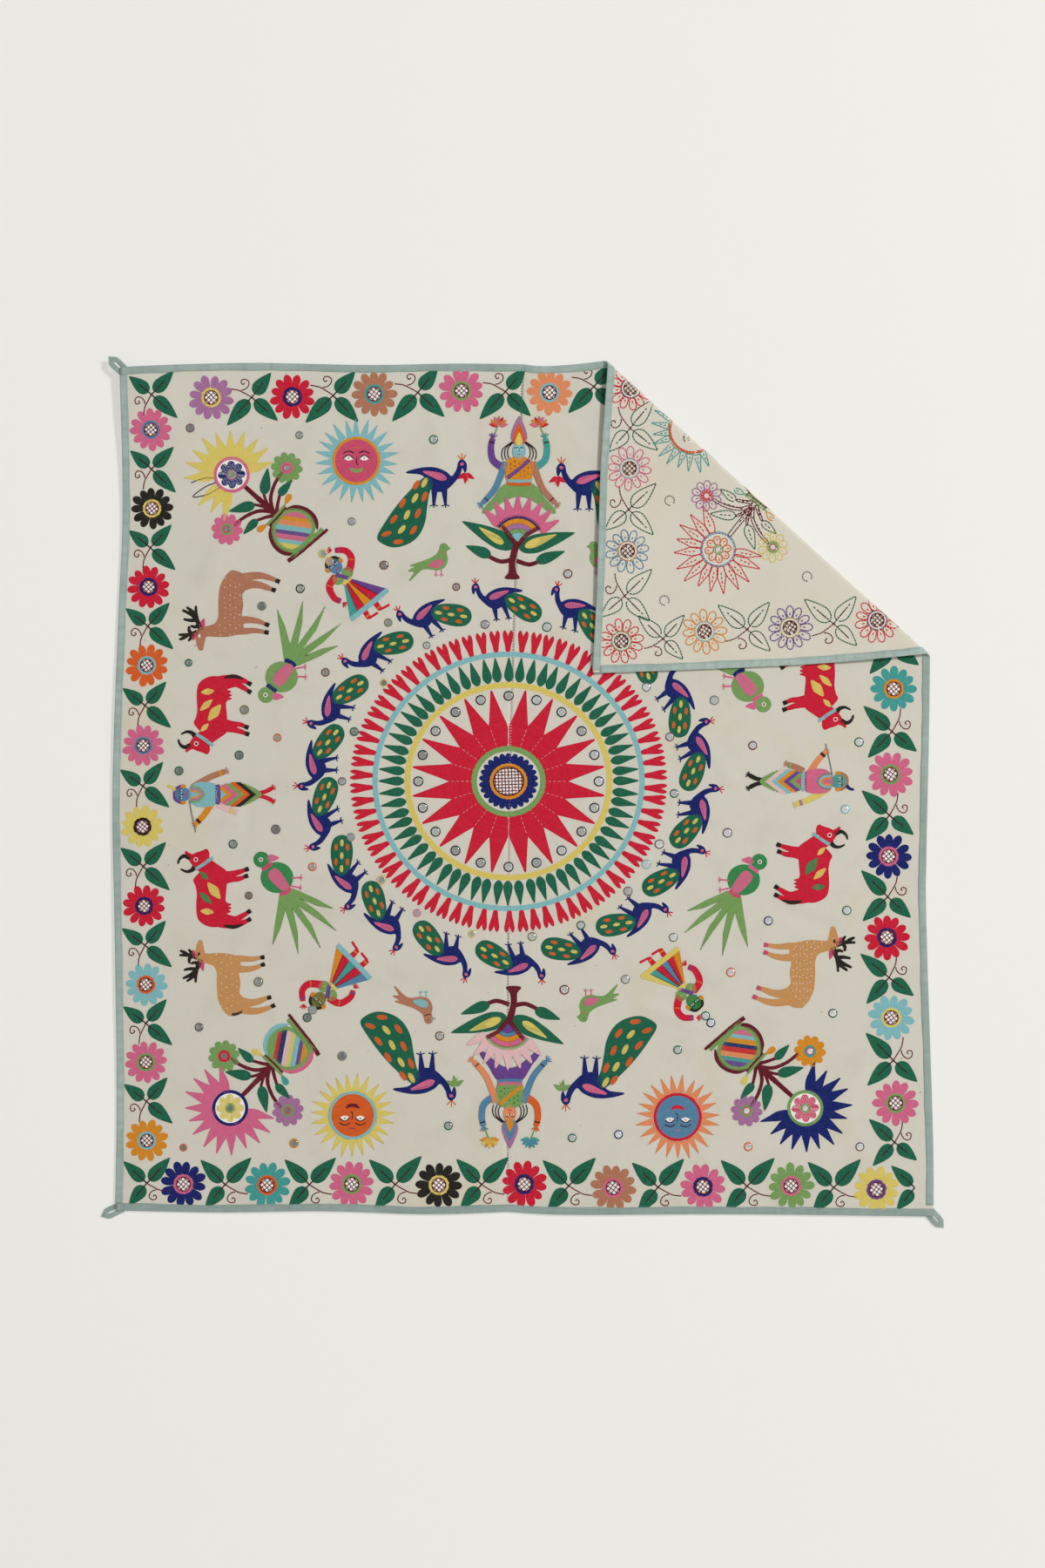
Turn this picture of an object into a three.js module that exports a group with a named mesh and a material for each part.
import * as THREE from 'three';
import { mergeVertices } from 'three/addons/utils/BufferGeometryUtils.js';

// An embroidered wall hanging: two loom widths of cotton joined by a seam down the middle, tape folded
// over the raw edge on all four sides, a tape loop at each corner, and small round mirrors.
// Millimetres, +Z up. The front faces -Y, and the origin is the middle of the top edge, where it hangs.
// The cloth is laid out flat first, in x and z, and then hung: its top right corner turns down in front.

// Thicknesses, and the clearance that separate pieces keep
const CLOTH = 1.2;
const TAPE = 1.0;
const GAP = 0.35;

// The binding's width on each face, and how far it stands past the cloth's edge
const BINDING_WIDTH = 11.5;
const BINDING_LIP = GAP + TAPE;

// How far the cloth's middle hangs from the wall
const STAND_OFF = 4.2;

// The fold: the line that the corner turns along, the roll's radius, the gap that the turned corner
// settles to, and the length over which it settles
const FOLD_FROM = new THREE.Vector2(135, 4);
const FOLD_TO = new THREE.Vector2(676, -488);
const FOLD_RADIUS = 6;
const FLAP_GAP = 5.5;
const FLAP_SETTLES = 170;

// The cut outline, each edge a smooth curve through its points
const TOP_LEFT_EDGE = [
  { x: -676, z: -8 }, { x: -558, z: -2.5 }, { x: -440, z: 0 }, { x: -267, z: -3.5 }, { x: -121, z: -1 },
  { x: -4, z: -2 },
];
const TOP_RIGHT_EDGE = [
  { x: -4, z: -2 }, { x: 40, z: -5 }, { x: 135, z: 4 }, { x: 305, z: 32 }, { x: 522, z: 60 },
  { x: 656, z: 80 },
];
const SEAM = [{ x: -29, z: -1417 }, { x: -26, z: -703 }, { x: -4, z: -2 }];
const LEFT_EDGE = [
  { x: -685, z: -1415 }, { x: -682, z: -1228 }, { x: -685, z: -965 }, { x: -689, z: -720 },
  { x: -680, z: -440 }, { x: -672, z: -240 }, { x: -676, z: -8 },
];
const BOTTOM_LEFT_EDGE = [
  { x: -685, z: -1415 }, { x: -515, z: -1418 }, { x: -340, z: -1416 }, { x: -165, z: -1421 },
  { x: -29, z: -1417 },
];
const BOTTOM_RIGHT_EDGE = [
  { x: -29, z: -1417 }, { x: 69, z: -1422 }, { x: 287, z: -1421 }, { x: 460, z: -1422 }, { x: 682, z: -1425 },
];
const RIGHT_EDGE = [
  { x: 682, z: -1425 }, { x: 681, z: -1286 }, { x: 670, z: -936 }, { x: 670, z: -819 }, { x: 674, z: -644 },
  { x: 676, z: -488 }, { x: 676, z: -312 }, { x: 667, z: -108 }, { x: 656, z: 80 },
];

// Soft ridges and hollows: the middle, the half length along the angle, the half width and the rise
const RIPPLES = [
  { x: -680, z: 5, angle: -45, long: 150, wide: 200, rise: 16 },
  { x: -690, z: -560, angle: 0, long: 190, wide: 130, rise: 2 },
  { x: -690, z: -1010, angle: 8, long: 200, wide: 140, rise: 2 },
  { x: -410, z: -1420, angle: 84, long: 240, wide: 120, rise: 2 },
  { x: -130, z: -1420, angle: 96, long: 220, wide: 110, rise: 1.5 },
  { x: 170, z: -1425, angle: 88, long: 240, wide: 120, rise: 2 },
  { x: 560, z: -1425, angle: 84, long: 230, wide: 150, rise: 2 },
  { x: 680, z: -920, angle: -6, long: 190, wide: 120, rise: 3 },
  { x: 450, z: -710, angle: 0, long: 260, wide: 95, rise: 3.5 },
  { x: -300, z: 0, angle: 80, long: 200, wide: 120, rise: 3 },
  { x: -20, z: -560, angle: 88, long: 420, wide: 100, rise: -1 },
  { x: -420, z: -700, angle: 60, long: 300, wide: 150, rise: 3 },
];

// Soft swellings of the turned corner, where it lands
const FLAP_RIPPLES = [
  { x: 395, z: -270, angle: -62, long: 110, wide: 80, rise: 5 },
  { x: 545, z: -400, angle: -30, long: 120, wide: 75, rise: 3 },
  { x: 150, z: -290, angle: 88, long: 170, wide: 70, rise: 4 },
];

// Mirrors: glass discs sewn on over the cloth, a ring of them in the rosette and others over the field
const MIRROR_RADIUS = 6.5;
const MIRROR_THICKNESS = 1.2;
const MIRROR_SIDES = 10;
const MIRROR_CLEARANCE = 0.6;
const ROSETTE = new THREE.Vector2(-28, -698);
const RING_MIRRORS = 20;
const RING_WIDE = 151;
const RING_TALL = 143;
const FIELD_MIRRORS = [
  { x: -560, z: -108 }, { x: -378, z: -120 }, { x: -153, z: -127 }, { x: -290, z: -264 },
  { x: -236, z: -337 }, { x: -115, z: -373 }, { x: -376, z: -376 }, { x: -563, z: -500 },
  { x: -334, z: -516 }, { x: -470, z: -579 }, { x: -579, z: -681 }, { x: -306, z: -698 },
  { x: -417, z: -779 }, { x: -488, z: -803 }, { x: -181, z: -919 }, { x: 93, z: -939 },
  { x: 249, z: -719 }, { x: 316, z: -563 }, { x: 381, z: -639 }, { x: 558, z: -633 },
  { x: 535, z: -745 }, { x: 407, z: -932 }, { x: 515, z: -1086 }, { x: 255, z: -1147 },
  { x: -143, z: -1124 }, { x: -446, z: -1034 }, { x: -545, z: -1110 }, { x: -128, z: -1274 },
];

// Loops: a tape doubled on itself, its two legs side by side around an eye, sewn to a corner. The angle is
// the way that a loop points, and side is the face of the cloth that it lies on: 1 the front, -1 the back.
const LOOP_LEG = 6;
const LOOP_EYE = 6.8;
const LOOP_REACH = 25;
const LOOP_ROOT = 12;
const LOOP_TIP = 8;
const LOOP_THICKNESS = 1.6;
const LOOPS = [
  { name: 'loop_top_left', x: -676, z: -8, angle: 137, side: -1 },
  { name: 'loop_bottom_left', x: -685, z: -1415, angle: 205, side: -1 },
  { name: 'loop_bottom_right', x: 682, z: -1425, angle: -48, side: -1 },
  { name: 'loop_top_right', x: 646, z: 70, angle: 172, side: 1 },
];

// How finely each sheet is divided, its slopes are taken and its edges are searched
const CELL = 42;
const LEFT_COLUMNS = 16;
const RIGHT_COLUMNS = 22;
const ROLL_STEPS = 8;
const FLAP_CELL = 40;
const SLOPE_STEP = 0.2;
const HALVINGS = 40;

// Colours and finishes
const CREAM = 0xe3dfd0;
const SEA_GREEN = 0xa3bcb3;
const SILVER = 0xc9ccca;
const CLOTH_ROUGHNESS = 0.9;
const GLASS_ROUGHNESS = 0.15;
const GLASS_METALNESS = 0.9;

const ALONG = FOLD_TO.clone().sub(FOLD_FROM).normalize();
const ACROSS = new THREE.Vector2(-ALONG.y, ALONG.x);
const ROLL = Math.PI * FOLD_RADIUS;

const flat = ({ x, z }) => new THREE.Vector2(x, z);
const curve = (rows) => new THREE.SplineCurve(rows.map(flat));
const edges = {
  topLeft: curve(TOP_LEFT_EDGE),
  topRight: curve(TOP_RIGHT_EDGE),
  seam: curve(SEAM),
  left: curve(LEFT_EDGE),
  bottomLeft: curve(BOTTOM_LEFT_EDGE),
  bottomRight: curve(BOTTOM_RIGHT_EDGE),
  right: curve(RIGHT_EDGE),
};

// Distance of a flat point past the fold line, towards the turned corner
const past = (p) => p.clone().sub(FOLD_FROM).dot(ACROSS);

function swell(ripples, p) {
  let rise = 0;
  for (const ripple of ripples) {
    const angle = THREE.MathUtils.degToRad(ripple.angle);
    const away = p.clone().sub(flat(ripple)).rotateAround(new THREE.Vector2(), -angle);
    rise += ripple.rise * Math.exp(-((away.x / ripple.long) ** 2) - (away.y / ripple.wide) ** 2);
  }
  return rise;
}

// Where a point of the flat cloth's middle surface comes to hang
function hang(p) {
  const rolled = past(p) + FOLD_RADIUS;
  if (rolled <= 0) {
    return new THREE.Vector3(p.x, -STAND_OFF - swell(RIPPLES, p), p.y);
  }
  const turn = Math.min(rolled / FOLD_RADIUS, Math.PI);
  const back = Math.max(rolled - ROLL, 0);
  const reach = FOLD_RADIUS * (Math.sin(turn) - 1) - back;
  const lands = p.clone().addScaledVector(ACROSS, reach - past(p));
  const under = p.clone().addScaledVector(ACROSS, -FOLD_RADIUS - back - past(p));
  const settled = THREE.MathUtils.smoothstep(back, 0, FLAP_SETTLES);
  const lift = FOLD_RADIUS * (1 - Math.cos(turn)) - (2 * FOLD_RADIUS - FLAP_GAP) * settled;
  const puff = settled * swell(FLAP_RIPPLES, lands);
  return new THREE.Vector3(lands.x, -STAND_OFF - swell(RIPPLES, under) - lift - puff, lands.y);
}

// The hung cloth's front normal
function facing(p) {
  const stepX = new THREE.Vector2(SLOPE_STEP, 0);
  const stepZ = new THREE.Vector2(0, SLOPE_STEP);
  const alongX = hang(p.clone().add(stepX)).sub(hang(p.clone().sub(stepX)));
  const alongZ = hang(p.clone().add(stepZ)).sub(hang(p.clone().sub(stepZ)));
  return alongX.cross(alongZ).normalize();
}

const skin = (p, height) => hang(p).addScaledVector(facing(p), height);

const heading = (from, to) => to.clone().sub(from).normalize();

// A geometry of shared vertices, with its faces turned to point out
function closed(points, triangles) {
  const tri = triangles.map((corners) => corners.map((i) => points[i]));
  const volume = tri.reduce((sum, [a, b, c]) => sum + a.dot(b.clone().cross(c)), 0);
  const index = triangles.flatMap(([a, b, c]) => (volume > 0 ? [a, b, c] : [a, c, b]));
  const geometry = new THREE.BufferGeometry();
  geometry.setAttribute('position', new THREE.Float32BufferAttribute(points.flatMap((p) => p.toArray()), 3));
  geometry.setIndex(index);
  geometry.computeVertexNormals();
  return geometry;
}

// A sheet of cloth over rows of flat points. The first and last row may be a single point.
function sheetGeometry(rows) {
  const points = [];
  const ids = rows.map((row) => row.map((p) => {
    points.push(skin(p, CLOTH / 2), skin(p, -CLOTH / 2));
    return points.length - 2;
  }));
  const faces = [];
  for (let k = 1; k < ids.length; k += 1) {
    const [low, high] = [ids[k - 1], ids[k]];
    const columns = Math.max(low.length, high.length) - 1;
    for (let j = 0; j < columns; j += 1) {
      if (low.length > 1) {
        faces.push([low[j], low[j + 1], high[Math.min(j + 1, high.length - 1)]]);
      }
      if (high.length > 1) {
        faces.push([low[Math.min(j, low.length - 1)], high[j + 1], high[j]]);
      }
    }
  }
  const rim = [
    ...ids[0],
    ...ids.slice(1, -1).map((row) => row.at(-1)),
    ...ids.at(-1).toReversed(),
    ...ids.slice(1, -1).map((row) => row[0]).toReversed(),
  ];
  const triangles = faces.flatMap(([a, b, c]) => [[a, b, c], [a + 1, c + 1, b + 1]]);
  rim.forEach((a, i) => {
    const b = rim[(i + 1) % rim.length];
    triangles.push([b, a, a + 1], [b, a + 1, b + 1]);
  });
  return closed(points, triangles);
}

const spaced = (count) => Array.from({ length: count + 1 }, (unused, i) => i / count);

// The left panel's rows, from the bottom edge to the top one, blended from its four edges
function leftPanelRows() {
  const count = Math.round(edges.left.getLength() / CELL);
  return spaced(count).map((v) => spaced(LEFT_COLUMNS).map((u) => {
    const side = edges.left.getPointAt(v).lerp(edges.seam.getPointAt(v), u);
    const end = edges.bottomLeft.getPointAt(u).lerp(edges.topLeft.getPointAt(u), v);
    const low = edges.bottomLeft.getPointAt(0).lerp(edges.bottomLeft.getPointAt(1), u);
    const high = edges.topLeft.getPointAt(0).lerp(edges.topLeft.getPointAt(1), u);
    return side.add(end).sub(low.lerp(high, v)).sub(new THREE.Vector2(u * GAP, 0));
  }));
}

// The point of an edge at a given distance past the fold line, which grows along the edge
function crossing(edge, distance) {
  let [low, high] = [0, 1];
  for (let i = 0; i < HALVINGS; i += 1) {
    const middle = (low + high) / 2;
    if (past(edge.getPointAt(middle)) < distance) {
      low = middle;
    } else {
      high = middle;
    }
  }
  return edge.getPointAt((low + high) / 2);
}

// Distances past the fold line of the right panel's rows, closest in the roll. Its corners are rows too.
function rightPanelDistances() {
  const steps = (from, to, size) => {
    const count = Math.max(1, Math.round((to - from) / size));
    return spaced(count).slice(1).map((t) => from + (to - from) * t);
  };
  const corner = (edge, end) => past(edge.getPointAt(end));
  const first = corner(edges.seam, 0);
  const bottomRight = corner(edges.right, 0);
  const seamTop = corner(edges.seam, 1);
  const last = corner(edges.topRight, 1);
  return [
    first,
    ...steps(first, bottomRight, CELL),
    ...steps(bottomRight, seamTop, CELL),
    ...steps(seamTop, -FOLD_RADIUS, CELL),
    ...steps(-FOLD_RADIUS, ROLL - FOLD_RADIUS, ROLL / ROLL_STEPS),
    ...steps(ROLL - FOLD_RADIUS, last, FLAP_CELL),
  ];
}

// The right panel's rows, each parallel to the fold line from the seam or top edge to the bottom or right one
function rightPanelRows(distances) {
  const seamTop = past(edges.seam.getPointAt(1));
  const bottomRight = past(edges.right.getPointAt(0));
  return distances.map((distance, k) => {
    const from = crossing(distance <= seamTop ? edges.seam : edges.topRight, distance);
    const to = crossing(distance <= bottomRight ? edges.bottomRight : edges.right, distance);
    const ends = k === 0 || k === distances.length - 1;
    return ends ? [from] : spaced(RIGHT_COLUMNS).map((u) => from.clone().lerp(to, u));
  });
}

// A binding strip along stations of { edge, inward }: a point of the cloth's edge and the unit direction of
// the section there. Each section is a U, open towards the cloth, and slanted ones are as much longer.
function bindingGeometry(stations) {
  const outside = CLOTH / 2 + GAP + TAPE;
  const inside = CLOTH / 2 + GAP;
  const section = [
    [BINDING_WIDTH, outside], [-BINDING_LIP, outside], [-BINDING_LIP, -outside], [BINDING_WIDTH, -outside],
    [BINDING_WIDTH, -inside], [-GAP, -inside], [-GAP, inside], [BINDING_WIDTH, inside],
  ].map(([inset, height]) => new THREE.Vector2(inset, height));
  const sides = section.length;
  const points = stations.flatMap(({ edge, inward }, k) => {
    const neighbours = [stations[Math.max(k - 1, 0)], stations[Math.min(k + 1, stations.length - 1)]];
    const slant = 1 / Math.abs(inward.cross(heading(neighbours[0].edge, neighbours[1].edge)));
    return section.map(({ x, y }) => skin(edge.clone().addScaledVector(inward, x * slant), y));
  });
  const triangles = [];
  for (let k = 1; k < stations.length; k += 1) {
    for (let j = 0; j < sides; j += 1) {
      const next = (j + 1) % sides;
      const [a, b] = [(k - 1) * sides, k * sides];
      triangles.push([a + j, a + next, b + next], [a + j, b + next, b + j]);
    }
  }
  const last = points.length - sides;
  for (const [a, b, c] of THREE.ShapeUtils.triangulateShape(section, [])) {
    triangles.push([a, c, b], [last + a, last + b, last + c]);
  }
  return closed(points, triangles);
}

// Stations along an edge's points, with one direction for all their sections
const stationsAlong = (points, inward) => points.map((edge) => ({ edge, inward }));

// A point on the way from an end to its neighbour, and an end drawn out past the cloth by the binding's lip
const inset = (end, next, length) => next.clone().sub(end).normalize().multiplyScalar(length).add(end);
const drawnOut = (end, next) => inset(end, next, -BINDING_LIP);

// A flat tape loop: its outline and eye, drawn along its own direction and then hung against its corner
function loopGeometry({ x, z, angle, side }) {
  const half = LOOP_LEG + LOOP_EYE / 2;
  const outline = new THREE.Shape([
    new THREE.Vector2(-LOOP_ROOT, -half), new THREE.Vector2(LOOP_REACH - LOOP_TIP, -half),
    new THREE.Vector2(LOOP_REACH, 0), new THREE.Vector2(LOOP_REACH - LOOP_TIP, half),
    new THREE.Vector2(-LOOP_ROOT, half),
  ]);
  const eye = LOOP_EYE / 2;
  const eyeFrom = BINDING_LIP + LOOP_EYE / 2;
  const eyeTo = LOOP_REACH - LOOP_TIP - eye / 2;
  outline.holes.push(new THREE.Path([
    new THREE.Vector2(eyeFrom, -eye), new THREE.Vector2(eyeTo, -eye), new THREE.Vector2(eyeTo + eye / 2, 0),
    new THREE.Vector2(eyeTo, eye), new THREE.Vector2(eyeFrom, eye),
  ]));
  const blank = new THREE.ExtrudeGeometry(outline, { depth: LOOP_THICKNESS, bevelEnabled: false });
  blank.deleteAttribute('normal');
  blank.deleteAttribute('uv');
  const merged = mergeVertices(blank);
  const turn = THREE.MathUtils.degToRad(angle);
  const clear = CLOTH / 2 + 2 * GAP + TAPE;
  const place = merged.getAttribute('position');
  const points = Array.from({ length: place.count }, (unused, i) => {
    const p = new THREE.Vector2(place.getX(i), place.getY(i)).rotateAround(new THREE.Vector2(), turn);
    return skin(p.add(new THREE.Vector2(x, z)), side * (clear + place.getZ(i)));
  });
  const index = Array.from(merged.getIndex().array);
  const triangles = spaced(index.length / 3).slice(1).map((unused, i) => index.slice(3 * i, 3 * i + 3));
  return closed(points, triangles);
}

const hanging = new THREE.Group();

function add(name, geometry, color, roughness, metalness) {
  const material = new THREE.MeshStandardMaterial({ color, roughness, metalness });
  const mesh = new THREE.Mesh(geometry, material);
  mesh.name = name;
  hanging.add(mesh);
  return mesh;
}

const addCloth = (name, geometry) => add(name, geometry, CREAM, CLOTH_ROUGHNESS, 0);
const addTape = (name, geometry) => add(name, geometry, SEA_GREEN, CLOTH_ROUGHNESS, 0);

// Panels
const leftRows = leftPanelRows();
const rightRows = rightPanelRows(rightPanelDistances());
addCloth('panel_left', sheetGeometry(leftRows));
addCloth('panel_right', sheetGeometry(rightRows));

// Bindings. Sections run along the rows of the panel that they bind: square to the edge on the left panel,
// along the fold line on the right one, so that they roll with the cloth. The top and bottom strips run the
// full width, and the side strips end against them.
const UP = new THREE.Vector2(0, 1);
const DOWN = UP.clone().negate();
const RIGHT = new THREE.Vector2(1, 0);
const LEFT = RIGHT.clone().negate();
const INTO_FOLD = ALONG.clone().negate();
const cornerInset = BINDING_WIDTH + 2 * GAP;
const seamTop = past(edges.seam.getPointAt(1));
const bottomRight = past(edges.right.getPointAt(0));
const leftTop = leftRows.at(-1);
const leftBottom = leftRows[0];
const leftSide = leftRows.map((row) => row[0]);
const rightTop = rightRows.map((row) => row[0]).filter((p) => past(p) > seamTop - GAP);
const rightBottom = rightRows.slice(1).map((row) => row.at(-1)).filter((p) => past(p) < bottomRight + GAP);
const rightSide = rightRows.map((row) => row.at(-1)).filter((p) => past(p) > bottomRight - GAP);
const downLeftSide = heading(leftSide.at(-1), leftSide.at(-2));
const downRightSide = heading(rightSide.at(-1), rightSide.at(-2));
const alongLeftTop = heading(leftTop[0], leftTop[1]);
const alongRightTop = heading(rightTop.at(-1), rightTop.at(-2));

const bindings = [
  {
    name: 'binding_top',
    stations: [
      { edge: drawnOut(leftTop[0], leftTop[1]), inward: downLeftSide },
      ...stationsAlong(leftTop.slice(1), DOWN),
      ...stationsAlong(rightTop.slice(0, -1), ALONG),
      { edge: drawnOut(rightTop.at(-1), rightTop.at(-2)), inward: downRightSide },
    ],
  },
  {
    name: 'binding_bottom',
    stations: [
      { edge: drawnOut(leftBottom[0], leftBottom[1]), inward: UP },
      ...stationsAlong(leftBottom.slice(1), UP),
      ...stationsAlong(rightBottom, INTO_FOLD),
      { edge: drawnOut(rightBottom.at(-1), rightBottom.at(-2)), inward: UP },
    ],
  },
  {
    name: 'binding_left',
    stations: [
      { edge: inset(leftSide[0], leftSide[1], cornerInset), inward: RIGHT },
      ...stationsAlong(leftSide.slice(1, -1), RIGHT),
      { edge: inset(leftSide.at(-1), leftSide.at(-2), cornerInset), inward: alongLeftTop },
    ],
  },
  {
    name: 'binding_right',
    stations: [
      { edge: inset(rightSide[0], rightSide[1], cornerInset), inward: LEFT },
      ...stationsAlong(rightSide.slice(1, -1), INTO_FOLD),
      { edge: inset(rightSide.at(-1), rightSide.at(-2), cornerInset), inward: alongRightTop },
    ],
  },
];
bindings.forEach(({ name, stations }) => addTape(name, bindingGeometry(stations)));

// Loops
LOOPS.forEach((loop) => addTape(loop.name, loopGeometry(loop)));

// Mirrors
function addMirror(name, place) {
  const disc = new THREE.CylinderGeometry(MIRROR_RADIUS, MIRROR_RADIUS, MIRROR_THICKNESS, MIRROR_SIDES);
  const mirror = add(name, disc, SILVER, GLASS_ROUGHNESS, GLASS_METALNESS);
  mirror.position.copy(skin(place, CLOTH / 2 + MIRROR_CLEARANCE + MIRROR_THICKNESS / 2));
  mirror.quaternion.setFromUnitVectors(new THREE.Vector3(0, 1, 0), facing(place));
}
const numbered = (name, i) => `${name}_${String(i + 1).padStart(2, '0')}`;
for (let i = 0; i < RING_MIRRORS; i += 1) {
  const angle = (2 * Math.PI * i) / RING_MIRRORS;
  const place = new THREE.Vector2(RING_WIDE * Math.cos(angle), RING_TALL * Math.sin(angle)).add(ROSETTE);
  addMirror(numbered('mirror_ring', i), place);
}
FIELD_MIRRORS.forEach((mirror, i) => addMirror(numbered('mirror_field', i), flat(mirror)));

export default hanging;
